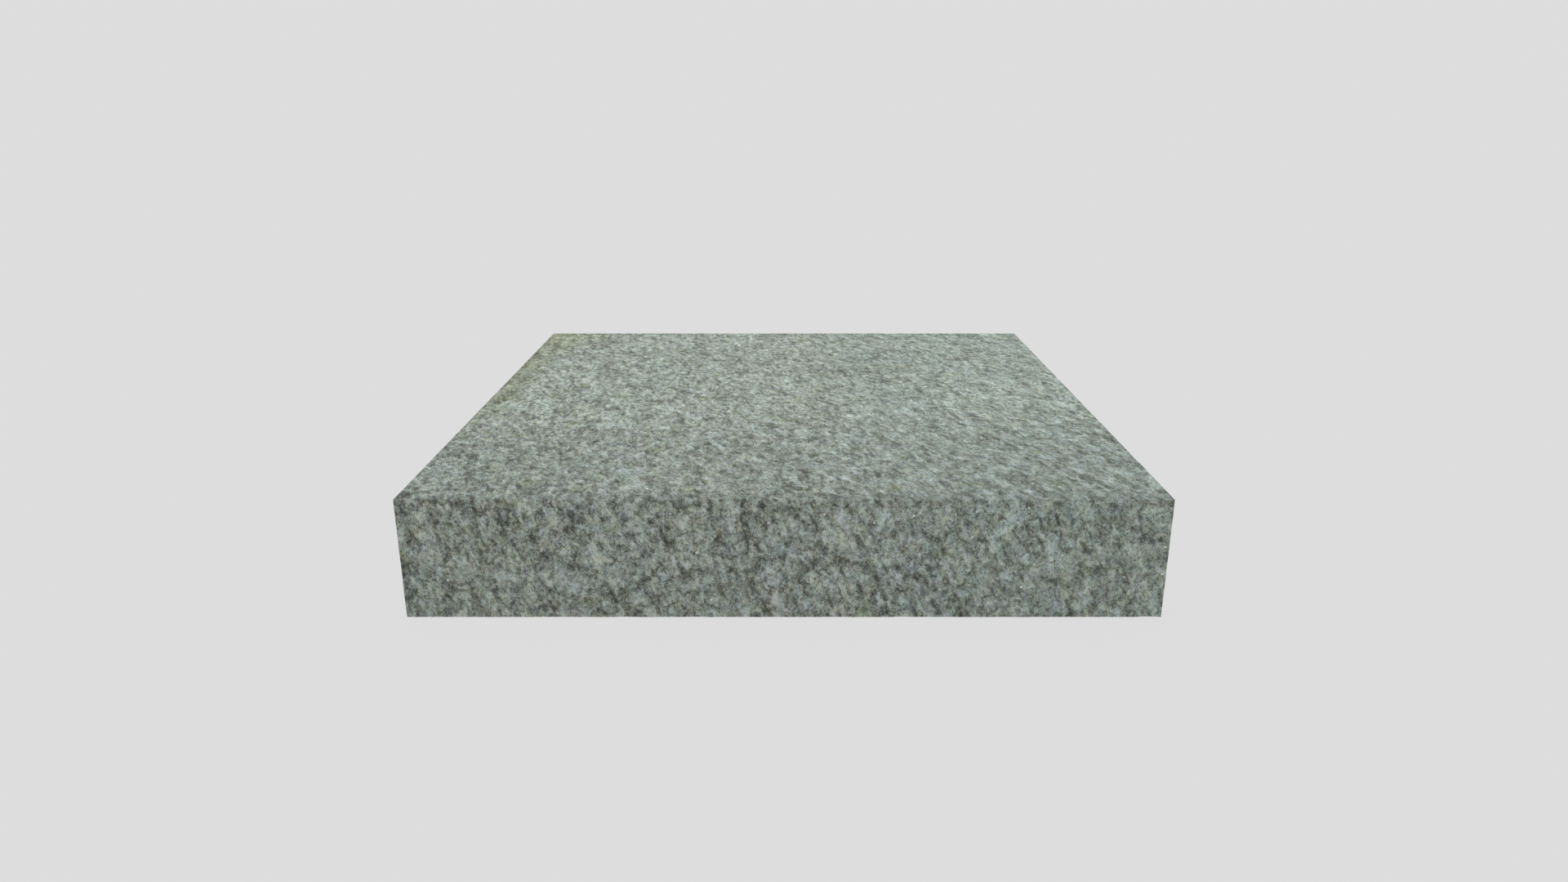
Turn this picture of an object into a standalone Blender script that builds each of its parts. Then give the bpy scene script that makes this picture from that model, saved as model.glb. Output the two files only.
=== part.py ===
"""Granite slab for leatherworking: a square block of stone on four thin self-adhesive rubber pads.

Metres, +Z up. The pads stand on z = 0 and the origin is under the middle of the slab. The working face is on
top, the front side faces -Y, and +X is to the right.
"""

import bmesh
import bpy
from math import radians

# Stone
SLAB_WIDTH = 0.3048  # along X, 12 in
SLAB_DEPTH = 0.3048  # along Y, 12 in
SLAB_THICKNESS = 0.0508  # along Z, 2 in
ARRIS_WIDTH = 0.0008  # how far the eased edges reach in from each face
ARRIS_SEGMENTS = 3

# Pads
PAD_DIAMETER = 0.0250
PAD_THICKNESS = 0.0015
PAD_RIM_ROUND = 0.0004  # rounding of the rim that meets the bench
PAD_RIM_SEGMENTS = 3
PAD_SIDES = 64
PAD_EDGE_MARGIN = 0.0150  # from a slab side to the nearest point of a pad's rim
FILM_THICKNESS = 0.0003  # adhesive film: the clearance between a pad and the stone

# Finishes
GRANITE = {"name": "granite", "colour": (0.235, 0.265, 0.235, 1.0), "roughness": 0.80, "metallic": 0.0}
RUBBER = {"name": "pad_rubber", "colour": (0.028, 0.028, 0.030, 1.0), "roughness": 0.75, "metallic": 0.0}

SMOOTH_ANGLE = radians(30.0)
SAME_HEIGHT = 1e-6  # tolerance when picking the edges at one height

# Places that follow from the sizes above
SLAB_UNDERSIDE_Z = PAD_THICKNESS + FILM_THICKNESS
PAD_CENTRE_X = SLAB_WIDTH / 2 - PAD_EDGE_MARGIN - PAD_DIAMETER / 2
PAD_CENTRE_Y = SLAB_DEPTH / 2 - PAD_EDGE_MARGIN - PAD_DIAMETER / 2


def clear_scene():
    for old in list(bpy.data.objects):
        bpy.data.objects.remove(old, do_unlink=True)


def make_material(piece_name, finish):
    material = bpy.data.materials.new(f"{piece_name}_{finish['name']}")
    material.use_nodes = True
    shader = material.node_tree.nodes["Principled BSDF"]
    shader.inputs["Base Color"].default_value = finish["colour"]
    shader.inputs["Roughness"].default_value = finish["roughness"]
    shader.inputs["Metallic"].default_value = finish["metallic"]
    material.diffuse_color = finish["colour"]
    return material


def add_object(name, bm, location, finish, parent):
    """Turn a bmesh into a named, smooth-shaded object with its own material."""
    mesh = bpy.data.meshes.new(name)
    bm.to_mesh(mesh)
    bm.free()
    mesh.shade_smooth()
    mesh.set_sharp_from_angle(angle=SMOOTH_ANGLE)
    mesh.materials.append(make_material(name, finish))
    piece = bpy.data.objects.new(name, mesh)
    piece.location = location
    piece.parent = parent
    bpy.context.scene.collection.objects.link(piece)
    return piece


def make_slab(parent):
    """The stone: a square block standing on its underside, with every arris eased by the same small round."""
    bm = bmesh.new()
    bmesh.ops.create_cube(bm, size=1.0)
    bmesh.ops.scale(bm, vec=(SLAB_WIDTH, SLAB_DEPTH, SLAB_THICKNESS), verts=bm.verts)
    bmesh.ops.translate(bm, vec=(0.0, 0.0, SLAB_THICKNESS / 2), verts=bm.verts)
    slab = add_object("granite_slab", bm, (0.0, 0.0, SLAB_UNDERSIDE_Z), GRANITE, parent)
    eased = slab.modifiers.new("eased_arrises", "BEVEL")
    eased.limit_method = "ANGLE"
    eased.width = ARRIS_WIDTH
    eased.segments = ARRIS_SEGMENTS
    return slab


def rim_edges(bm, height):
    """The edges of a disc's rim that lie at one height."""
    return [edge for edge in bm.edges if all(abs(vert.co.z - height) < SAME_HEIGHT for vert in edge.verts)]


def make_pad(name, centre_x, centre_y, parent):
    """A rubber disc with a flat sticky top and a rounded rim where it meets the bench."""
    bm = bmesh.new()
    bmesh.ops.create_cone(
        bm,
        cap_ends=True,
        segments=PAD_SIDES,
        radius1=PAD_DIAMETER / 2,
        radius2=PAD_DIAMETER / 2,
        depth=PAD_THICKNESS,
    )
    bmesh.ops.translate(bm, vec=(0.0, 0.0, PAD_THICKNESS / 2), verts=bm.verts)
    bmesh.ops.bevel(
        bm,
        geom=rim_edges(bm, 0.0),
        offset=PAD_RIM_ROUND,
        offset_type="OFFSET",
        segments=PAD_RIM_SEGMENTS,
        profile=0.5,
        affect="EDGES",
        clamp_overlap=True,
    )
    return add_object(name, bm, (centre_x, centre_y, 0.0), RUBBER, parent)


def make_pads(parent):
    """One pad near each corner of the slab."""
    for depth_word, side_y in (("front", -1.0), ("back", 1.0)):
        for width_word, side_x in (("left", -1.0), ("right", 1.0)):
            name = f"pad_{depth_word}_{width_word}"
            make_pad(name, side_x * PAD_CENTRE_X, side_y * PAD_CENTRE_Y, parent)


def main():
    clear_scene()
    base = bpy.data.objects.new("slab_base", None)
    bpy.context.scene.collection.objects.link(base)
    make_slab(base)
    make_pads(base)


main()
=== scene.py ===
from math import cos, pi, radians, sin, tan

import bmesh
import bpy
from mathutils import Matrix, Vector, noise
from mathutils.geometry import delaunay_2d_cdt


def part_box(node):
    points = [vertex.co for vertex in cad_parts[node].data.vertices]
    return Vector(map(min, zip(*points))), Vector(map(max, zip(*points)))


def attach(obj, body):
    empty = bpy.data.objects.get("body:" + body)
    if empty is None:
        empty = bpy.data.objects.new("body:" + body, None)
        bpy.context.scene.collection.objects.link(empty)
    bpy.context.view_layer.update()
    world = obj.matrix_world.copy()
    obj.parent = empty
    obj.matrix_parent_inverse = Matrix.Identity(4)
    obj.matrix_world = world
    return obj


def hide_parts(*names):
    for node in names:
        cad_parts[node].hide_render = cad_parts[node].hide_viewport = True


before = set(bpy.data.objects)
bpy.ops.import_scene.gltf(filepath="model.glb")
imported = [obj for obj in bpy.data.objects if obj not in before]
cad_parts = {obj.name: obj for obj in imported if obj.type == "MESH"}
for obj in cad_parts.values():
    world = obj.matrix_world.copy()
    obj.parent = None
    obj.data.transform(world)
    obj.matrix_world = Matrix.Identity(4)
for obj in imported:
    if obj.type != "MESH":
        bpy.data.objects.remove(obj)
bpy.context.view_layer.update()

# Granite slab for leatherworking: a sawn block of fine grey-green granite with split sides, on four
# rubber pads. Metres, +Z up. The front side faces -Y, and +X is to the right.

BODY = "root"
MM = 0.001
HAIR = 1e-7  # two places closer than this are one

# The stone's box, from the frame
SLAB_LOW, SLAB_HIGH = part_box("granite_slab")
SLAB_SIZE = SLAB_HIGH - SLAB_LOW
SLAB_CENTRE = (SLAB_LOW + SLAB_HIGH) / 2

# The stone's mesh
TOP_STEP = 1.6 * MM  # between the grid lines that run across the slab
SIDE_STEP = 1.3 * MM  # between the grid lines that run round the sides
ARRIS_LINES = (0.12 * MM, 0.28 * MM, 0.5 * MM, 0.8 * MM, 1.3 * MM)  # extra grid lines, in from each arris
UNDERSIDE_STEP = 11.0 * MM  # between the points inside the sawn underside
UNDERSIDE_HOLLOW = 0.3  # how deep the underside counts as lying, from 0 to 1

# The stone's arrises
ARRIS_ROUND = 0.22 * MM
ARRIS_ROUND_SPREAD = 0.15 * MM  # how much more or less rounded it is from place to place
ARRIS_ROUND_LEAST = 0.08 * MM
ARRIS_WANDER = 9.0 * MM  # from one such place to the next
CHIP_DEPTH = 0.9 * MM
CHIP_SPACING = 14.0 * MM
CHIP_SHARE = 0.62  # of the noise's range that leaves the arris whole
CHIP_SHIFT = Vector((5.0, 9.0, 2.0))  # keeps the chips from following the rounding

# Relief of the split sides and of the finely dressed top: wavelength and depth of each scale
SIDE_RELIEF = ((17.0 * MM, 0.50 * MM), (8.0 * MM, 0.60 * MM), (4.0 * MM, 0.28 * MM))
TOP_RELIEF = ((40.0 * MM, 0.06 * MM), (6.0 * MM, 0.05 * MM))
SIDE_SEED, TOP_SEED = 2, 1
SEED_SHIFT, SCALE_SHIFT, LEVEL_SHIFT = 7.3, 11.7, 3.1  # keep one relief from following another
RELIEF_FADE = 4.0 * MM  # the relief dies away this near an arris
RELIEF_AT_ARRIS = 0.2  # share of it that is left there
RELIEF_WRAP = 2.0 * MM  # how far a face's relief carries on round an arris

# The stone's finishes, and its flat map
TOP_SLOT, SIDE_SLOT, UNDERSIDE_SLOT = range(3)
BAKE_MAP = "OFBake"  # the name under which a bake finds the map
BAKE_GAP = 0.005  # between the faces on the map, as a share of its width

# The granite's rift, the plane that it splits along, and its grain, the way its flecks lie in that plane
RIFT_NORMAL = Vector((0.94, 0.25, 0.25)).normalized()
RIFT_SQUEEZE = 1.30
GRAIN_LINE = Vector((-0.27, 0.96, 0.0)).normalized()
GRAIN_STRETCH = 1.50

# The granite's patterns: the size of each, and how much it moves the tone
LARGE_CRYSTALS, LARGE_CRYSTAL_TONE = 1.40 * MM, 0.24
SMALL_CRYSTALS, SMALL_CRYSTAL_TONE = 0.58 * MM, 0.26
DUST, DUST_TONE = 0.45 * MM, 0.72
PATCHES, PATCH_TONE = 3.2 * MM, 1.55
CLOUDS, CLOUD_TONE = 9.0 * MM, 1.10
CLOUD_SQUEEZE = 1.35  # across the rift, on top of the granite's own
DRIFTS, DRIFT_TONE = 60.0 * MM, 0.14
WISPS, WISP_TONE = 5.0 * MM, 0.12  # thin pale veins
WISP_WIDTH = 0.045  # in the noise's range
CRYSTAL_WOBBLE, CRYSTAL_BEND = 2.2 * MM, 1.6 * MM  # crystals aren't quite angular
PATCH_WOBBLE, PATCH_BEND = 4.0 * MM, 6.0 * MM  # patches and clouds are ragged
PATCH_RELIEF = 0.9

# Its hues, which wander apart from its tones: the size of each pattern, and how much it counts
HUE_PATCHES, HUE_PATCH_SHARE = 4.4 * MM, 1.7
HUE_DRIFTS, HUE_DRIFT_SHARE = 40.0 * MM, 0.4
CRYSTAL_HUE_SHARE = 0.30
PINK_SHIFT, PINK_OF_DARKS = (0.31, 0.0, 0.0), 0.30
YELLOW_SHIFT, YELLOW_OF_DARKS = (0.0, 0.47, 0.0), 0.10
YELLOW_OF_PINK = 0.35

# Its mica flakes
FLAKES, FLAKE_BEND = 0.95 * MM, 0.7 * MM
FLAKE_RIM, FLAKE_CORE = 0.52, 0.26  # in the width of a flake's cell
NO_MICA_TONE, FULL_MICA_TONE = 1.40, 0.50  # pale granite shows less of its mica
MICA_STRENGTH = 0.8

# Towards its right end the block is a little softer and cooler
COOL_FROM, COOL_TO = 0.0, 80.0 * MM  # to the right of the block's middle
END_CONTRAST = 0.92

# The dark flaws are thin lenses across this line, which leans from the rift
FLAW_NORMAL = Vector((0.87, 0.25, 0.42)).normalized()
FLAW_SQUEEZE = 5.0
FLAW_WOBBLE, FLAW_BEND = 2.5 * MM, 2.6 * MM

# Specks, stains, worn arrises, painted shade on the top towards its front, and painted glints
SPECK_WOBBLE, SPECK_BEND = 1.5 * MM, 2.0 * MM  # the bend is for a raggedness of 1
STAIN_WOBBLE = 14.0 * MM
STAIN_RIM, STAIN_CORE = 1.0, 0.15  # in the stain's reach
WEAR_WOBBLE, WEAR_SOFTNESS = 6.0 * MM, 0.12
WEAR_WIDTH, WEAR_STRENGTH = 0.7 * MM, 0.12
CORNER_REACH = (0.062, 0.075, 0.060)
RUN_REACH, RUN_FROM_BACK = (0.024, 0.170, 0.020), 0.35  # the second is a share of the slab's depth
# Painted shade on the top towards its front arris, and on that arris itself
FRONT_SHADE_REACH, FRONT_SHADE_STRENGTH = (1.2, 0.140, 1.0), 0.68
FRONT_EDGE_SHADE_REACH, FRONT_EDGE_SHADE_STRENGTH = (1.2, 0.012, 1.0), 0.42
RUST_STRENGTH, OLIVE_STRENGTH = 0.6, 0.75
MICA_GLOSS, GLINT_ROUGHNESS = 0.5, 0.30

# The rubber pads
RUBBER_GRAIN, RUBBER_RELIEF = 0.5 * MM, 0.06 * MM
DUST_PATCHES = 6.0 * MM
DUST_FROM, DUST_FULL = 0.50, 0.75  # in the noise's range
DUST_STRENGTH = 0.25
CLEAN_ROUGHNESS, DUSTY_ROUGHNESS = 0.62, 0.90

# The adhesive films
FILM_SIDES = 64
FILM_SET_BACK = 0.3 * MM  # from the pad's rim
FILM_BEVEL = 0.05 * MM
FILM_HAZE, FILM_RELIEF = 1.5 * MM, 0.04 * MM
FILM_ROUGHNESS = 0.45

# The floor and the light
FLOOR_HALF = 30.0
BACKDROP = 0.723  # linear grey of the floor and of everything behind it
FLOOR_GLOW = 0.97  # share of the floor's tone that is its own, so that shadows on it stay faint
SKY_LIGHT = 0.42
OVERHEAD_LIGHT = 0.52 * pi
OVERHEAD_SPREAD = radians(75.0)
OVERHEAD_TILT = radians(6.0)  # towards the back

# The camera
VIEW_ELEVATION = radians(17.98)
VIEW_DISTANCE = 1.860 * SLAB_SIZE.x
VIEW_HEIGHT_ANGLE = radians(45.0)
SENSOR_WIDTH = 36.0
FRAME_SHAPE = 9 / 16


# --- Colours, in linear light ---------------------------------------------------------------------

# The granite from its darkest crystals to its palest, each with its tone
GRANITE_TONES = (
    (0.00, (0.060, 0.064, 0.056)),
    (0.22, (0.123, 0.141, 0.120)),
    (0.50, (0.322, 0.368, 0.320)),
    (0.78, (0.530, 0.600, 0.538)),
    (1.00, (0.720, 0.790, 0.735)),
)
MICA = (0.076, 0.071, 0.054)
RUST = (0.150, 0.105, 0.070)
# Painted glints: a white that stands in for sparkle
GLINT = (0.95, 0.97, 0.95)
BRUISE = (0.45, 0.50, 0.45)

# Hues that multiply the granite's colour
PINKISH = (1.056, 0.946, 1.000)
GREENISH = (0.946, 1.056, 1.000)
YELLOWISH = (1.000, 1.000, 0.820)
BLUISH = (1.000, 1.000, 1.180)
COOL_END = (0.985, 1.013, 1.024)
TOP_TINT = (0.990, 1.010, 0.994)
NO_TINT = (1.0, 1.0, 1.0)

# Stains, dirt and painted shade, which multiply it too
# Darkens the hollows: partly dirt lodged in them, partly painted shade
HOLLOW_DIRT_AND_SHADE = (0.42, 0.40, 0.37)
OLIVE_STAIN = (0.82, 0.84, 0.62)
DAMP_STAIN = (0.81, 0.79, 0.66)
CORNER_STAIN = (0.97, 0.94, 0.78)
FLAW_DIRT = (0.42, 0.39, 0.36)
# Painted shade on the top towards its front
FRONT_PAINTED_SHADE = (0.70, 0.70, 0.72)
# Painted shade towards the foot of the sides
FOOT_PAINTED_SHADE = (0.62, 0.61, 0.60)

# The pads and films: ramps from the dark of each to its pale
RUBBER_TONES = ((0.3, (0.018, 0.018, 0.019)), (0.7, (0.034, 0.034, 0.036)))
ADHESIVE_TONES = ((0.3, (0.42, 0.42, 0.38)), (0.7, (0.60, 0.60, 0.55)))
STONE_DUST = (0.20, 0.21, 0.19)


# --- Small helpers for shader nodes ---------------------------------------------------------------

# The Mix node's colour sockets, which share their names with its other sockets
MIX_FIRST, MIX_SECOND, MIX_RESULT = 6, 7, 2


def new_group(name, inputs, outputs):
    """An empty node group with named sockets: (kind, name, default) inputs and (kind, name) outputs."""
    tree = bpy.data.node_groups.new(name, "ShaderNodeTree")
    for kind, label, default in inputs:
        socket = tree.interface.new_socket(label, in_out="INPUT", socket_type=f"NodeSocket{kind}")
        socket.default_value = default
    for kind, label in outputs:
        tree.interface.new_socket(label, in_out="OUTPUT", socket_type=f"NodeSocket{kind}")
    return tree, tree.nodes.new("NodeGroupInput").outputs, tree.nodes.new("NodeGroupOutput").inputs


def use_group(tree, group, **values):
    """Places a node group in a material; underscores in the value names stand for spaces."""
    node = tree.nodes.new("ShaderNodeGroup")
    node.node_tree = group
    for label, value in values.items():
        feed(tree, node.inputs[label.replace("_", " ")], value)
    return node.outputs


def feed(tree, socket, value):
    """Links an output to a socket, or sets the socket to a plain value."""
    if isinstance(value, bpy.types.NodeSocket):
        tree.links.new(value, socket)
    elif value is not None:
        socket.default_value = value


def maths(tree, operation, *values):
    node = tree.nodes.new("ShaderNodeMath")
    node.operation = operation
    for socket, value in zip(node.inputs, values):
        feed(tree, socket, value)
    return node.outputs[0]


def total(tree, first, *others):
    for value in others:
        first = maths(tree, "ADD", first, value)
    return first


def product(tree, first, *others):
    for value in others:
        first = maths(tree, "MULTIPLY", first, value)
    return first


def swing(tree, value, weight):
    """A value that varies round one half, made to vary round zero by a weight."""
    return product(tree, maths(tree, "SUBTRACT", value, 0.5), weight)


def fade(tree, value, low, high, to_low=0.0, to_high=1.0):
    """A smooth step from to_low at low to to_high at high."""
    node = tree.nodes.new("ShaderNodeMapRange")
    node.interpolation_type = "SMOOTHSTEP"
    for label, number in zip(("Value", "From Min", "From Max", "To Min", "To Max"),
                             (value, low, high, to_low, to_high)):
        feed(tree, node.inputs[label], number)
    return node.outputs["Result"]


def vector_maths(tree, operation, *values):
    node = tree.nodes.new("ShaderNodeVectorMath")
    node.operation = operation
    for socket, value in zip(node.inputs, values):
        feed(tree, socket, value)
    return node.outputs["Value" if operation in ("DOT_PRODUCT", "LENGTH") else "Vector"]


def scaled(tree, vector, factor):
    node = tree.nodes.new("ShaderNodeVectorMath")
    node.operation = "SCALE"
    feed(tree, node.inputs["Vector"], vector)
    feed(tree, node.inputs["Scale"], factor)
    return node.outputs["Vector"]


def along_axes(tree, vector):
    """A vector's X, Y and Z."""
    node = tree.nodes.new("ShaderNodeSeparateXYZ")
    feed(tree, node.inputs[0], vector)
    return node.outputs


def place_on_piece(tree):
    return tree.nodes.new("ShaderNodeTexCoord").outputs["Object"]


def squeezed(tree, place, axis, factor):
    """The place spread out along an axis, so that patterns come out squeezed along it by the factor."""
    along = vector_maths(tree, "DOT_PRODUCT", place, axis[:])
    line = tree.nodes.new("ShaderNodeCombineXYZ")
    for socket, number in zip(line.inputs, axis):
        socket.default_value = number
    spread = scaled(tree, line.outputs["Vector"], product(tree, along, factor - 1.0))
    return vector_maths(tree, "ADD", place, spread)


def along_grain(tree, place):
    """The place in the granite's own proportions, for flecks flat in the rift and long along the grain."""
    flat = squeezed(tree, place, RIFT_NORMAL, RIFT_SQUEEZE)
    return squeezed(tree, flat, GRAIN_LINE, 1.0 / GRAIN_STRETCH)


def cloud(tree, place, wavelength, detail, roughness=0.5, output="Fac"):
    """Noise whose broadest blotches are about one wavelength apart, in metres."""
    node = tree.nodes.new("ShaderNodeTexNoise")
    feed(tree, node.inputs["Vector"], place)
    feed(tree, node.inputs["Scale"], 1.0 / wavelength)
    feed(tree, node.inputs["Detail"], detail)
    feed(tree, node.inputs["Roughness"], roughness)
    return node.outputs[output]


def swirl(tree, place, wavelength, detail, roughness=0.5):
    """A direction that wanders from place to place, for bending a pattern."""
    wander = cloud(tree, place, wavelength, detail, roughness, output="Color")
    return vector_maths(tree, "SUBTRACT", wander, (0.5, 0.5, 0.5))


def moved(tree, place, direction, distance):
    return vector_maths(tree, "ADD", place, scaled(tree, direction, distance))


def cells(tree, place, cells_per_metre):
    """A pattern of cells, with the distance to each one's middle and a colour of its own."""
    node = tree.nodes.new("ShaderNodeTexVoronoi")
    feed(tree, node.inputs["Vector"], place)
    feed(tree, node.inputs["Scale"], cells_per_metre)
    return node.outputs


def chances(tree, cell):
    """Three numbers from 0 to 1 that each cell has by chance."""
    node = tree.nodes.new("ShaderNodeSeparateColor")
    feed(tree, node.inputs[0], cell["Color"])
    return node.outputs


def spots_in_cells(tree, place, given, least, core):
    """Spots in some of the cells, by a group's Spacing, Size and Share.

    The sizes run from the least share of Size up, and a spot is solid inside the core share of its own size.
    """
    cell = cells(tree, place, maths(tree, "DIVIDE", 1.0, given["Spacing"]))
    pick, growth, _ = chances(tree, cell)
    chosen = maths(tree, "LESS_THAN", pick, given["Share"])
    size = product(tree, given["Size"], total(tree, growth, least))
    return product(tree, chosen, fade(tree, cell["Distance"], size, product(tree, size, core)))


def opaque(colour):
    """A plain colour with its alpha. An output is handed on as it is."""
    return (*colour, 1.0) if isinstance(colour, tuple) else colour


def mix_colour(tree, factor, first, second, blend="MIX"):
    node = tree.nodes.new("ShaderNodeMix")
    node.data_type = "RGBA"
    node.blend_type = blend
    feed(tree, node.inputs["Factor"], factor)
    feed(tree, node.inputs[MIX_FIRST], opaque(first))
    feed(tree, node.inputs[MIX_SECOND], opaque(second))
    return node.outputs[MIX_RESULT]


def tinted(tree, colour, tint):
    return mix_colour(tree, 1.0, colour, tint, "MULTIPLY")


def stained(tree, colour, mask, stain, strength=1.0):
    """The colour times the stain, as far as the mask and the strength say."""
    return mix_colour(tree, product(tree, mask, strength), colour, stain, "MULTIPLY")


def ramp(tree, value, stops):
    """A colour ramp through (position, colour) stops."""
    node = tree.nodes.new("ShaderNodeValToRGB")
    feed(tree, node.inputs["Fac"], value)
    elements = node.color_ramp.elements
    while len(elements) < len(stops):
        elements.new(0.5)
    for element, (position, colour) in zip(elements, stops):
        element.position = position
        element.color = opaque(colour)
    return node.outputs["Color"]


# --- Effects that the finishes share --------------------------------------------------------------

def make_granite_body():
    """Crystals, mica and cloudy patches, as they run right through the block."""
    tree, given, result = new_group(
        "granite_body",
        [("Float", "Lightness", 0.5), ("Float", "Contrast", 1.0), ("Float", "Cloudiness", 1.0),
         ("Float", "Mica Share", 0.15), ("Float", "Hue Spread", 1.0), ("Color", "Tint", opaque(NO_TINT))],
        [("Color", "Colour"), ("Float", "Mica"), ("Float", "Crystal Relief")],
    )
    place = along_grain(tree, place_on_piece(tree))
    wobble = swirl(tree, place, CRYSTAL_WOBBLE, detail=2.0)
    warped = moved(tree, place, wobble, CRYSTAL_BEND)
    large = chances(tree, cells(tree, warped, 1.0 / LARGE_CRYSTALS))
    small = chances(tree, cells(tree, warped, 1.0 / SMALL_CRYSTALS))
    dust = cloud(tree, place, DUST, detail=1.0)
    stirred = moved(tree, place, swirl(tree, place, PATCH_WOBBLE, detail=2.0), PATCH_BEND)
    patches = cloud(tree, stirred, PATCHES, detail=2.0, roughness=0.6)
    flattened = squeezed(tree, stirred, RIFT_NORMAL, CLOUD_SQUEEZE)
    clouds = cloud(tree, flattened, CLOUDS, detail=2.0, roughness=0.6)
    drifts = cloud(tree, place, DRIFTS, detail=2.0)
    vein = maths(tree, "ABSOLUTE", maths(tree, "SUBTRACT", cloud(tree, stirred, WISPS, detail=1.0), 0.5))
    wisps = fade(tree, vein, WISP_WIDTH, 0.0, to_high=WISP_TONE)
    cool = fade(tree, along_axes(tree, place_on_piece(tree))["X"], COOL_FROM, COOL_TO)

    fine = total(tree, swing(tree, large[0], LARGE_CRYSTAL_TONE), swing(tree, small[0], SMALL_CRYSTAL_TONE),
                 swing(tree, dust, DUST_TONE))
    broad = total(tree, swing(tree, patches, PATCH_TONE), swing(tree, clouds, CLOUD_TONE))
    broad = product(tree, broad, given["Cloudiness"])
    softened = fade(tree, cool, 0.0, 1.0, to_low=1.0, to_high=END_CONTRAST)
    tone = product(tree, total(tree, fine, broad), given["Contrast"], softened)
    tone = total(tree, tone, swing(tree, drifts, DRIFT_TONE), given["Lightness"], wisps)
    colour = ramp(tree, tone, GRANITE_TONES)

    def lean(shift, of_darks, channel):
        """How far each place leans from one hue to another, round one half. Dark clumps lean to brown."""
        shifted = vector_maths(tree, "ADD", place, shift)
        hue_patches = cloud(tree, shifted, HUE_PATCHES, detail=1.0, roughness=0.6)
        hue_drifts = cloud(tree, shifted, HUE_DRIFTS, detail=1.0)
        leaning = total(tree, swing(tree, hue_patches, HUE_PATCH_SHARE),
                        swing(tree, hue_drifts, HUE_DRIFT_SHARE),
                        swing(tree, small[channel], CRYSTAL_HUE_SHARE))
        leaning = maths(tree, "SUBTRACT", leaning, product(tree, broad, of_darks))
        return total(tree, product(tree, leaning, given["Hue Spread"]), 0.5)

    pinkness = lean(PINK_SHIFT, PINK_OF_DARKS, 1)
    yellowness = total(tree, lean(YELLOW_SHIFT, YELLOW_OF_DARKS, 2), swing(tree, pinkness, YELLOW_OF_PINK))
    colour = tinted(tree, colour, mix_colour(tree, pinkness, GREENISH, PINKISH))
    colour = tinted(tree, colour, mix_colour(tree, yellowness, BLUISH, YELLOWISH))
    colour = mix_colour(tree, cool, colour, tinted(tree, colour, COOL_END))
    colour = tinted(tree, colour, given["Tint"])

    flakes = cells(tree, moved(tree, place, wobble, FLAKE_BEND), 1.0 / FLAKES)
    picked = maths(tree, "LESS_THAN", chances(tree, flakes)[0], given["Mica Share"])
    inside = fade(tree, flakes["Distance"], FLAKE_RIM, FLAKE_CORE)
    mica = product(tree, picked, inside, fade(tree, tone, NO_MICA_TONE, FULL_MICA_TONE))

    feed(tree, result["Colour"], mix_colour(tree, product(tree, mica, MICA_STRENGTH), colour, MICA))
    feed(tree, result["Mica"], mica)
    feed(tree, result["Crystal Relief"], total(tree, fine, swing(tree, patches, PATCH_RELIEF)))
    return tree


def make_specks():
    """Small scattered spots: rust, lichen or painted glints, by their spacing, size and share."""
    tree, given, result = new_group(
        "scattered_specks",
        [("Float", "Spacing", 0.01), ("Float", "Size", 0.1), ("Float", "Share", 0.2),
         ("Float", "Raggedness", 0.5)],
        [("Float", "Specks")],
    )
    place = place_on_piece(tree)
    wobble = swirl(tree, place, SPECK_WOBBLE, detail=2.0)
    bent = moved(tree, place, wobble, product(tree, given["Raggedness"], SPECK_BEND))
    feed(tree, result["Specks"], spots_in_cells(tree, bent, given, least=0.35, core=0.35))
    return tree


def make_flaws():
    """Dark flaws here and there, as thin ragged lenses."""
    tree, given, result = new_group(
        "dark_flaws",
        [("Float", "Spacing", 0.01), ("Float", "Size", 0.3), ("Float", "Share", 0.3)],
        [("Float", "Flaws")],
    )
    place = place_on_piece(tree)
    bent = moved(tree, place, swirl(tree, place, FLAW_WOBBLE, detail=3.0, roughness=0.6), FLAW_BEND)
    lying = squeezed(tree, bent, FLAW_NORMAL, FLAW_SQUEEZE)
    feed(tree, result["Flaws"], spots_in_cells(tree, lying, given, least=0.4, core=0.2))
    return tree


def make_patch():
    """A ragged patch round one point, longer one way than the other, as a stain is."""
    tree, given, result = new_group(
        "ragged_patch",
        [("Vector", "Centre", (0.0, 0.0, 0.0)), ("Vector", "Reach", (0.03, 0.03, 0.03)),
         ("Float", "Raggedness", 0.5)],
        [("Float", "Patch")],
    )
    place = place_on_piece(tree)
    offset = vector_maths(tree, "SUBTRACT", place, given["Centre"])
    distance = vector_maths(tree, "LENGTH", vector_maths(tree, "DIVIDE", offset, given["Reach"]))
    rough = swing(tree, cloud(tree, place, STAIN_WOBBLE, detail=4.0, roughness=0.65), given["Raggedness"])
    feed(tree, result["Patch"], fade(tree, total(tree, distance, rough), STAIN_RIM, STAIN_CORE))
    return tree


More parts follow.
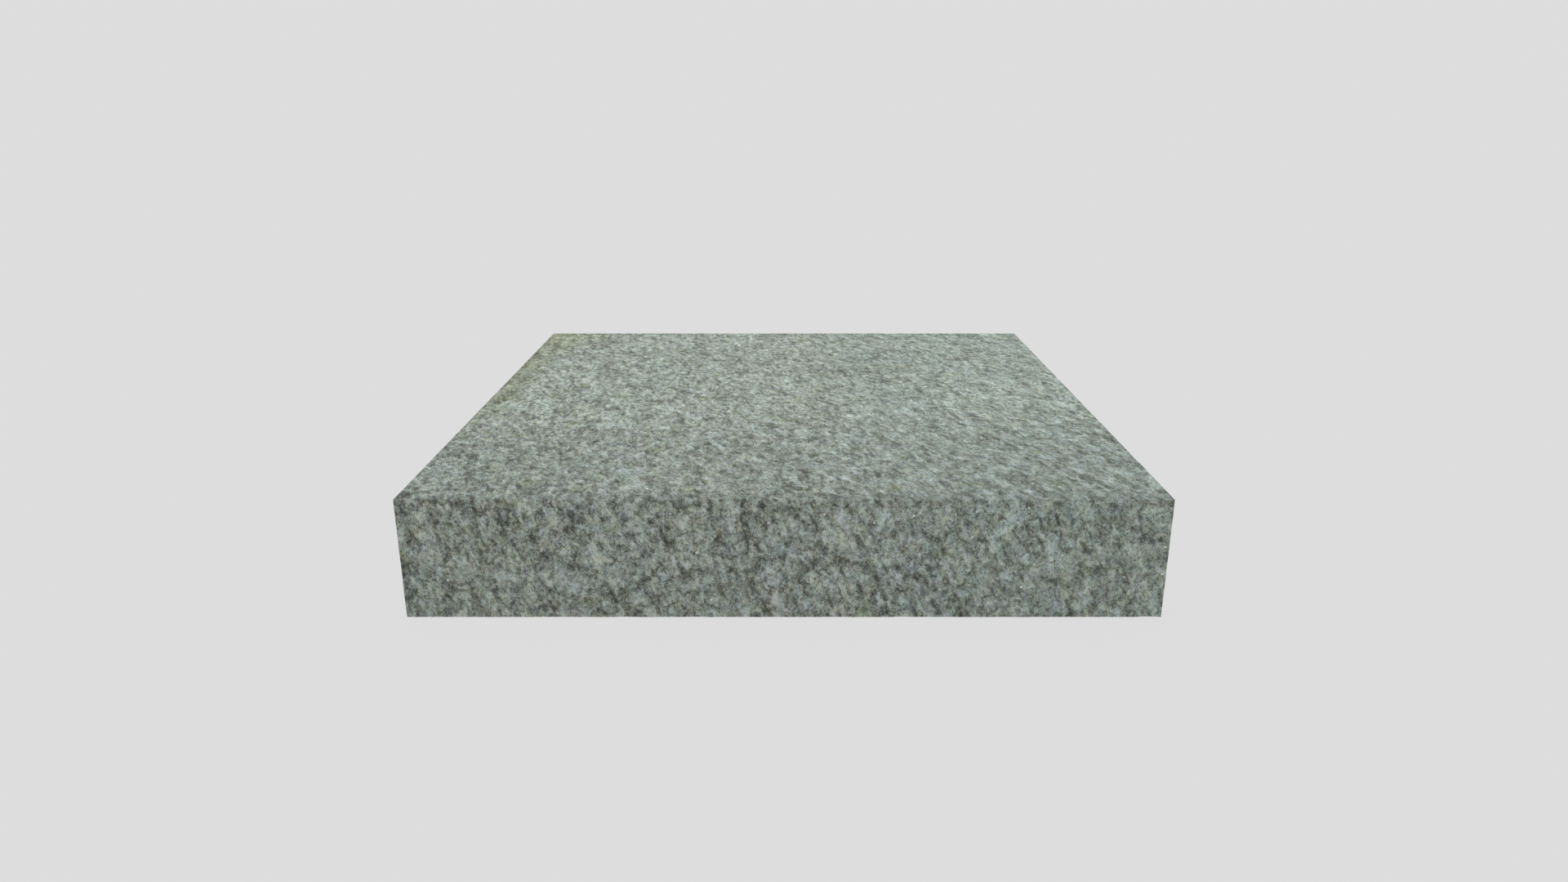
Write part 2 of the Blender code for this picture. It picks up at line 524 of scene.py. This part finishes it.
def make_arris_wear():
    """How near a place is to an arris of the block: 1 on it, 0 further in, and broken here and there."""
    tree, given, result = new_group(
        "arris_wear",
        [("Vector", "Middle", (0.0, 0.0, 0.0)), ("Vector", "Half Size", (0.1, 0.1, 0.1)),
         ("Float", "Width", 0.001), ("Float", "Breaks", 0.5)],
        [("Float", "Wear")],
    )
    place = place_on_piece(tree)
    offset = vector_maths(tree, "ABSOLUTE", vector_maths(tree, "SUBTRACT", place, given["Middle"]))
    x, y, z = along_axes(tree, vector_maths(tree, "SUBTRACT", given["Half Size"], offset))
    nearest = maths(tree, "MINIMUM", x, maths(tree, "MINIMUM", y, z))
    farthest = maths(tree, "MAXIMUM", x, maths(tree, "MAXIMUM", y, z))
    both = total(tree, nearest, farthest)
    second = maths(tree, "SUBTRACT", total(tree, x, total(tree, y, z)), both)
    near = fade(tree, second, given["Width"], 0.0)
    breaks = cloud(tree, place, WEAR_WOBBLE, detail=3.0, roughness=0.7)
    broken = fade(tree, breaks, given["Breaks"], total(tree, given["Breaks"], WEAR_SOFTNESS))
    feed(tree, result["Wear"], product(tree, near, broken))
    return tree


# --- Finishes -------------------------------------------------------------------------------------

def new_material(name, roughness):
    material = bpy.data.materials.new(name)
    material.use_nodes = True
    shader = material.node_tree.nodes["Principled BSDF"]
    shader.inputs["Roughness"].default_value = roughness
    return material, material.node_tree, shader


def bump(tree, height, distance):
    node = tree.nodes.new("ShaderNodeBump")
    node.inputs["Distance"].default_value = distance
    node.inputs["Strength"].default_value = 1.0
    feed(tree, node.inputs["Height"], height)
    return node.outputs["Normal"]


def hollows(tree):
    """How deep the face lies, as it is stored on the stone's mesh: 0 on the ridges, 1 in the hollows."""
    node = tree.nodes.new("ShaderNodeAttribute")
    node.attribute_name = "hollow"
    return node.outputs["Fac"]


def make_granite_finish(name, groups, tint, *, lightness, contrast, clouding, hue, mica, roughness, relief,
                        flawing, hollow_dirt_and_shade, rust, spots, front_shade=0.0, foot_shade=0.0):
    """Granite with its own lightness, relief and stains for one kind of face, with painted shade and glints.
    """
    material, tree, shader = new_material(name, roughness)
    body = use_group(tree, groups["body"], Lightness=lightness, Contrast=contrast, Cloudiness=clouding,
                     Mica_Share=mica, Hue_Spread=hue, Tint=opaque(tint))
    # The hollows are darkened, partly as dirt and partly as painted shade
    colour = stained(tree, body["Colour"], hollows(tree), HOLLOW_DIRT_AND_SHADE, hollow_dirt_and_shade)

    rusty = use_group(tree, groups["specks"], Spacing=7.0 * MM, Size=0.12, Share=rust, Raggedness=0.5)
    colour = mix_colour(tree, product(tree, rusty["Specks"], RUST_STRENGTH), colour, RUST)
    olive = use_group(tree, groups["specks"], Spacing=22.0 * MM, Size=0.24, Share=spots, Raggedness=2.5)
    colour = stained(tree, colour, olive["Specks"], OLIVE_STAIN, OLIVE_STRENGTH)
    flaws = use_group(tree, groups["flaws"], Spacing=12.0 * MM, Size=0.42, Share=0.55)
    colour = stained(tree, colour, flaws["Flaws"], FLAW_DIRT, flawing)

    # Damp has left an olive stain round the back left corner and along the left arris
    corner = (SLAB_LOW.x, SLAB_HIGH.y, SLAB_HIGH.z)
    pool = use_group(tree, groups["patch"], Centre=corner, Reach=CORNER_REACH, Raggedness=0.9)
    colour = stained(tree, colour, pool["Patch"], CORNER_STAIN)
    middle = (SLAB_LOW.x, SLAB_HIGH.y - RUN_FROM_BACK * SLAB_SIZE.y, SLAB_HIGH.z)
    run = use_group(tree, groups["patch"], Centre=middle, Reach=RUN_REACH, Raggedness=1.2)
    colour = stained(tree, colour, run["Patch"], DAMP_STAIN)

    if front_shade:
        # Painted shade: the top is made darker towards its front arris, most of all on the arris itself
        front = (SLAB_CENTRE.x, SLAB_LOW.y, SLAB_HIGH.z)
        for reach, strength in ((FRONT_SHADE_REACH, FRONT_SHADE_STRENGTH), (FRONT_EDGE_SHADE_REACH, FRONT_EDGE_SHADE_STRENGTH)):
            shade_patch = use_group(tree, groups["patch"], Centre=front, Reach=reach, Raggedness=0.25)
            colour = stained(tree, colour, shade_patch["Patch"], FRONT_PAINTED_SHADE, strength * front_shade)

    if foot_shade:
        # Painted shade: the sides are made a little darker towards the foot
        height = along_axes(tree, place_on_piece(tree))["Z"]
        colour = stained(tree, colour, fade(tree, height, SLAB_HIGH.z, SLAB_LOW.z), FOOT_PAINTED_SHADE, foot_shade)

    wear = use_group(tree, groups["arris"], Middle=SLAB_CENTRE[:], Half_Size=(SLAB_SIZE / 2)[:],
                     Width=WEAR_WIDTH, Breaks=0.45)
    colour = mix_colour(tree, product(tree, wear["Wear"], WEAR_STRENGTH), colour, BRUISE)

    # Painted glints: white specks in the base colour, a little glossier, stand in for sparkle
    glints = use_group(tree, groups["specks"], Spacing=5.0 * MM, Size=0.125, Share=0.20, Raggedness=0.1)
    feed(tree, shader.inputs["Base Color"], mix_colour(tree, glints["Specks"], colour, GLINT))

    gloss = maths(tree, "MAXIMUM", glints["Specks"], product(tree, body["Mica"], MICA_GLOSS))
    feed(tree, shader.inputs["Roughness"],
         fade(tree, gloss, 0.0, 1.0, to_low=roughness, to_high=GLINT_ROUGHNESS))
    feed(tree, shader.inputs["Normal"], bump(tree, body["Crystal Relief"], relief))
    return material


def make_rubber():
    """Dull black rubber with a fine moulded grain and a little stone dust."""
    material, tree, shader = new_material("pad_rubber", CLEAN_ROUGHNESS)
    place = place_on_piece(tree)
    grain = cloud(tree, place, RUBBER_GRAIN, detail=2.0, roughness=0.6)
    dust = fade(tree, cloud(tree, place, DUST_PATCHES, detail=4.0, roughness=0.7), DUST_FROM, DUST_FULL)
    dusty = mix_colour(tree, product(tree, dust, DUST_STRENGTH), ramp(tree, grain, RUBBER_TONES), STONE_DUST)
    feed(tree, shader.inputs["Base Color"], dusty)
    feed(tree, shader.inputs["Roughness"],
         fade(tree, dust, 0.0, 1.0, to_low=CLEAN_ROUGHNESS, to_high=DUSTY_ROUGHNESS))
    feed(tree, shader.inputs["Normal"], bump(tree, grain, RUBBER_RELIEF))
    return material


def make_adhesive():
    """Milky adhesive film between a pad and the stone."""
    material, tree, shader = new_material("adhesive_film", FILM_ROUGHNESS)
    haze = cloud(tree, place_on_piece(tree), FILM_HAZE, detail=3.0, roughness=0.6)
    feed(tree, shader.inputs["Base Color"], ramp(tree, haze, ADHESIVE_TONES))
    feed(tree, shader.inputs["Normal"], bump(tree, haze, FILM_RELIEF))
    return material


# --- The stone ------------------------------------------------------------------------------------

def placed(data):
    """An object in the scene for a mesh, light or camera, with its name."""
    thing = bpy.data.objects.new(data.name, data)
    bpy.context.scene.collection.objects.link(thing)
    return thing


def smooth(share):
    """A share from 0 to 1, eased at both ends."""
    return share * share * (3.0 - 2.0 * share)


def grid_lines(low, high, step):
    """Places of the grid lines between two sides: close together near the arrises, then evenly spaced."""
    inner_low, inner_high = low + ARRIS_LINES[-1], high - ARRIS_LINES[-1]
    count = round((inner_high - inner_low) / step)
    middle = [inner_low + (inner_high - inner_low) * i / count for i in range(1, count)]
    near_low = [low] + [low + gap for gap in ARRIS_LINES]
    near_high = [high - gap for gap in reversed(ARRIS_LINES)] + [high]
    return near_low + middle + near_high


def grain_place(place):
    """The place in the granite's own proportions, as its patterns are."""
    place = place + RIFT_NORMAL * (RIFT_NORMAL.dot(place) * (RIFT_SQUEEZE - 1.0))
    return place + GRAIN_LINE * (GRAIN_LINE.dot(place) * (1.0 / GRAIN_STRETCH - 1.0))


def relief_depth(place, scales, seed):
    """How far a face lies below its nominal plane, from 0 up, summed over the scales of its relief."""
    lying = grain_place(place)
    depth = 0.0
    for index, (wavelength, height) in enumerate(scales):
        shift = Vector((seed * SEED_SHIFT, index * SCALE_SHIFT, LEVEL_SHIFT))
        wave = noise.noise(lying / wavelength + shift, noise_basis="PERLIN_ORIGINAL")
        depth += height * (0.5 + 0.5 * wave)
    return depth


def deepest(scales):
    return sum(height for _, height in scales)


def arris_radius(place):
    """The arris is a little more rounded in some places than in others, and chipped in a few."""
    wander = noise.noise(place / ARRIS_WANDER)
    chip = noise.noise(place / CHIP_SPACING + CHIP_SHIFT) * 0.5 + 0.5
    depth = max(0.0, (chip - CHIP_SHARE) / (1.0 - CHIP_SHARE)) * CHIP_DEPTH
    return max(ARRIS_ROUND_LEAST, ARRIS_ROUND + wander * ARRIS_ROUND_SPREAD + depth)


def eased(place):
    """Moves a place on the sharp block's surface onto the block with rounded arrises."""
    radius = arris_radius(place)
    inner = Vector(min(max(c, low + radius), high - radius)
                   for c, low, high in zip(place, SLAB_LOW, SLAB_HIGH))
    return inner + (place - inner).normalized() * radius


def from_arris(place):
    """How far a place on the sharp block's surface is from the nearest arris."""
    margins = sorted(min(c - low, high - c) for c, low, high in zip(place, SLAB_LOW, SLAB_HIGH))
    return margins[1]  # the least one is to the face that the place is on


def pull(distance):
    """How much of a face's relief a place this far from the face's plane follows: all of it on the face."""
    return smooth(max(0.0, 1.0 - distance / RELIEF_WRAP))


def shaped(place, on_top):
    """The point of the finished stone for a place on the sharp block, and how deep it lies, from 0 to 1."""
    away = smooth(min(1.0, from_arris(place) / RELIEF_FADE))
    share = RELIEF_AT_ARRIS + (1.0 - RELIEF_AT_ARRIS) * away
    inwards = Vector((
        pull(place.x - SLAB_LOW.x) - pull(SLAB_HIGH.x - place.x),
        pull(place.y - SLAB_LOW.y) - pull(SLAB_HIGH.y - place.y),
        0.0,
    ))
    downwards = Vector((0.0, 0.0, -pull(SLAB_HIGH.z - place.z)))
    side_depth = relief_depth(place, SIDE_RELIEF, SIDE_SEED)
    top_depth = relief_depth(place, TOP_RELIEF, TOP_SEED)
    point = eased(place) + (inwards * side_depth + downwards * top_depth) * share
    if on_top:
        return point, top_depth / deepest(TOP_RELIEF)
    return point, side_depth / deepest(SIDE_RELIEF)


def make_slab(materials):
    """The block: a top and four sides on one grid, and a sawn underside filled in from their lowest ring."""
    xs = grid_lines(SLAB_LOW.x, SLAB_HIGH.x, TOP_STEP)
    ys = grid_lines(SLAB_LOW.y, SLAB_HIGH.y, TOP_STEP)
    zs = grid_lines(SLAB_LOW.z, SLAB_HIGH.z, SIDE_STEP)
    last_x, last_y, last_z = len(xs) - 1, len(ys) - 1, len(zs) - 1
    points, hollow, index_of = [], [], {}
    faces, slots = [], []

    def corner(i, j, k):
        key = (i, j, k)
        if key not in index_of:
            index_of[key] = len(points)
            point, deep = shaped(Vector((xs[i], ys[j], zs[k])), k == last_z)
            points.append(point)
            hollow.append(deep)
        return index_of[key]

    def add_face(corners, slot):
        faces.append([corner(*c) for c in corners])
        slots.append(slot)

    def add_wall(start, end, k):
        """A face of a side, between two uprights of the grid, from row k to the next."""
        add_face(((*start, k), (*end, k), (*end, k + 1), (*start, k + 1)), SIDE_SLOT)

    for i in range(last_x):
        for j in range(last_y):
            square = ((i, j), (i + 1, j), (i + 1, j + 1), (i, j + 1))
            add_face([(*upright, last_z) for upright in square], TOP_SLOT)
    for k in range(last_z):
        for i in range(last_x):
            add_wall((i, 0), (i + 1, 0), k)
            add_wall((i + 1, last_y), (i, last_y), k)
        for j in range(last_y):
            add_wall((last_x, j), (last_x, j + 1), k)
            add_wall((0, j + 1), (0, j), k)

    ring = [corner(i, 0, 0) for i in range(last_x)]
    ring += [corner(last_x, j, 0) for j in range(last_y)]
    ring += [corner(i, last_y, 0) for i in range(last_x, 0, -1)]
    ring += [corner(0, j, 0) for j in range(last_y, 0, -1)]
    for triangle in fill_underside(ring, points, hollow):
        faces.append(triangle)
        slots.append(UNDERSIDE_SLOT)

    mesh = bpy.data.meshes.new("granite_stone")
    mesh.from_pydata([point[:] for point in points], [], faces)
    for material in materials:
        mesh.materials.append(material)
    mesh.polygons.foreach_set("material_index", slots)
    attribute = mesh.attributes.new("hollow", "FLOAT", "POINT")
    attribute.data.foreach_set("value", hollow)
    mesh.shade_smooth()
    mesh.validate()
    mesh.update()
    lay_out_bake_map(mesh)
    return placed(mesh)


def fill_underside(ring, points, hollow):
    """Triangles that close the block inside the lowest ring, with evenly spaced points between."""
    outline = [points[index].xy for index in ring]
    skip = len(ARRIS_LINES)
    columns = grid_lines(SLAB_LOW.x, SLAB_HIGH.x, UNDERSIDE_STEP)[skip:-skip]
    rows = grid_lines(SLAB_LOW.y, SLAB_HIGH.y, UNDERSIDE_STEP)[skip:-skip]
    inner = [Vector((x, y)) for x in columns for y in rows]
    count = len(outline)
    edges = [(i, (i + 1) % count) for i in range(count)]
    filled, _, faces, sources, _, _ = delaunay_2d_cdt(outline + inner, edges, [], 1, HAIR)
    indices = []
    for point, source in zip(filled, sources):
        if source and source[0] < count:
            indices.append(ring[source[0]])
        else:
            indices.append(len(points))
            points.append(Vector((point.x, point.y, SLAB_LOW.z)))
            hollow.append(UNDERSIDE_HOLLOW)
    return [[indices[i] for i in reversed(face)] for face in faces]


def lay_out_bake_map(mesh):
    """A flat map of the block: the top, two sides below it, two at its right, the underside in the corner."""
    strip = SLAB_SIZE.z / SLAB_SIZE.x
    scale = (1.0 - 4.0 * BAKE_GAP) / (1.0 + 2.0 * strip) / SLAB_SIZE.x
    first, second = BAKE_GAP, 2.0 * BAKE_GAP + SLAB_SIZE.z * scale
    top = second + SLAB_SIZE.z * scale + BAKE_GAP
    under = (top - 2.0 * BAKE_GAP) / max(SLAB_SIZE.x, SLAB_SIZE.y)
    layer = mesh.uv_layers.new(name=BAKE_MAP)
    for face in mesh.polygons:
        slot, normal = face.material_index, face.normal
        for loop in face.loop_indices:
            x, y, z = mesh.vertices[mesh.loops[loop].vertex_index].co - SLAB_LOW
            if slot == TOP_SLOT:
                spot = (BAKE_GAP + x * scale, top + y * scale)
            elif slot == UNDERSIDE_SLOT:
                spot = (1.0 - BAKE_GAP - y * under, BAKE_GAP + x * under)
            elif abs(normal.y) > abs(normal.x):
                spot = (BAKE_GAP + x * scale, (first if normal.y < 0 else second) + z * scale)
            else:
                spot = (1.0 - (first if normal.x < 0 else second) - z * scale, top + y * scale)
            layer.uv[loop].vector = spot


# --- The adhesive films ---------------------------------------------------------------------------

def make_film(pad_name, material):
    """The thin film that fills the space between a pad's top and the stone."""
    low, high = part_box(pad_name)
    middle = (low + high) / 2
    radius = (high.x - low.x) / 2 - FILM_SET_BACK
    thickness = SLAB_LOW.z - high.z
    bm = bmesh.new()
    bmesh.ops.create_cone(bm, cap_ends=True, segments=FILM_SIDES, depth=thickness,
                          radius1=radius, radius2=radius)
    rims = [edge for edge in bm.edges if abs(edge.verts[0].co.z - edge.verts[1].co.z) < HAIR]
    bmesh.ops.bevel(bm, geom=rims, offset=FILM_BEVEL, segments=2, profile=0.5, affect="EDGES")
    bmesh.ops.translate(bm, vec=(middle.x, middle.y, high.z + thickness / 2), verts=bm.verts)
    mesh = bpy.data.meshes.new(pad_name.replace("pad", "film"))
    bm.to_mesh(mesh)
    bm.free()
    mesh.shade_smooth()
    mesh.materials.append(material)
    return placed(mesh)


# --- Floor, light and camera ----------------------------------------------------------------------

def make_floor():
    """A plain pale floor that runs on into the backdrop."""
    bm = bmesh.new()
    bmesh.ops.create_grid(bm, x_segments=1, y_segments=1, size=FLOOR_HALF)
    mesh = bpy.data.meshes.new("studio_floor")
    bm.to_mesh(mesh)
    bm.free()
    material, _, shader = new_material("pale_floor", 1.0)
    lit = SKY_LIGHT + OVERHEAD_LIGHT / pi
    shade = BACKDROP * (1.0 - FLOOR_GLOW) / lit
    shader.inputs["Base Color"].default_value = (shade, shade, shade, 1.0)
    shader.inputs["Specular IOR Level"].default_value = 0.0
    shader.inputs["Emission Color"].default_value = (1.0, 1.0, 1.0, 1.0)
    shader.inputs["Emission Strength"].default_value = BACKDROP * FLOOR_GLOW
    mesh.materials.append(material)
    placed(mesh)


def make_light():
    """Even light from all round, seen as a pale backdrop, and a broad soft light from overhead."""
    world = bpy.data.worlds.new("studio")
    bpy.context.scene.world = world
    world.use_nodes = True
    tree = world.node_tree
    sky = tree.nodes["Background"]
    sky.inputs["Color"].default_value = (SKY_LIGHT, SKY_LIGHT, SKY_LIGHT, 1.0)
    backdrop = tree.nodes.new("ShaderNodeBackground")
    backdrop.inputs["Color"].default_value = (BACKDROP, BACKDROP, BACKDROP, 1.0)
    seen = tree.nodes.new("ShaderNodeLightPath")
    either = tree.nodes.new("ShaderNodeMixShader")
    tree.links.new(seen.outputs["Is Camera Ray"], either.inputs[0])
    tree.links.new(sky.outputs[0], either.inputs[1])
    tree.links.new(backdrop.outputs[0], either.inputs[2])
    tree.links.new(either.outputs[0], tree.nodes["World Output"].inputs["Surface"])

    lamp = bpy.data.lights.new("overhead_softbox", "SUN")
    lamp.energy = OVERHEAD_LIGHT
    lamp.angle = OVERHEAD_SPREAD
    placed(lamp).rotation_euler = (-OVERHEAD_TILT, 0.0, 0.0)


def make_camera():
    """Straight in front of the slab, a little above it, aimed at the middle of the stone."""
    lens = bpy.data.cameras.new("camera")
    lens.sensor_width = SENSOR_WIDTH
    lens.lens = SENSOR_WIDTH * FRAME_SHAPE / 2 / tan(VIEW_HEIGHT_ANGLE / 2)
    lens.clip_start = 0.01
    lens.clip_end = 100.0
    camera = placed(lens)
    back = Vector((0.0, -cos(VIEW_ELEVATION), sin(VIEW_ELEVATION)))
    camera.location = SLAB_CENTRE + back * VIEW_DISTANCE
    camera.rotation_euler = (pi / 2 - VIEW_ELEVATION, 0.0, 0.0)
    bpy.context.scene.camera = camera
    bpy.context.scene.view_settings.view_transform = "Standard"


# --- Making it all --------------------------------------------------------------------------------

groups = {
    "body": make_granite_body(),
    "specks": make_specks(),
    "flaws": make_flaws(),
    "patch": make_patch(),
    "arris": make_arris_wear(),
}
top_finish = make_granite_finish(
    "granite_dressed_top", groups, TOP_TINT,
    lightness=0.511, contrast=1.0, clouding=0.83, hue=0.66, mica=0.28, roughness=0.66, relief=0.20 * MM,
    flawing=0.55, hollow_dirt_and_shade=0.10, rust=0.05, spots=0.65, front_shade=1.0)
side_finish = make_granite_finish(
    "granite_split_side", groups, NO_TINT,
    lightness=0.553, contrast=0.98, clouding=1.00, hue=0.85, mica=0.22, roughness=0.75, relief=0.45 * MM,
    flawing=0.88, hollow_dirt_and_shade=0.35, rust=0.45, spots=0.45, foot_shade=0.22)
underside_finish = make_granite_finish(
    "granite_sawn_underside", groups, NO_TINT,
    lightness=0.50, contrast=0.85, clouding=0.80, hue=0.8, mica=0.18, roughness=0.70, relief=0.05 * MM,
    flawing=0.0, hollow_dirt_and_shade=0.10, rust=0.05, spots=0.10)

stone = make_slab((top_finish, side_finish, underside_finish))
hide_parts("granite_slab")
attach(stone, BODY)

rubber = make_rubber()
adhesive = make_adhesive()
for name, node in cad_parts.items():
    if name.startswith("pad_"):
        for slot in node.material_slots:
            slot.material = rubber
        film = make_film(name, adhesive)
        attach(film, BODY)

make_floor()
make_light()
make_camera()
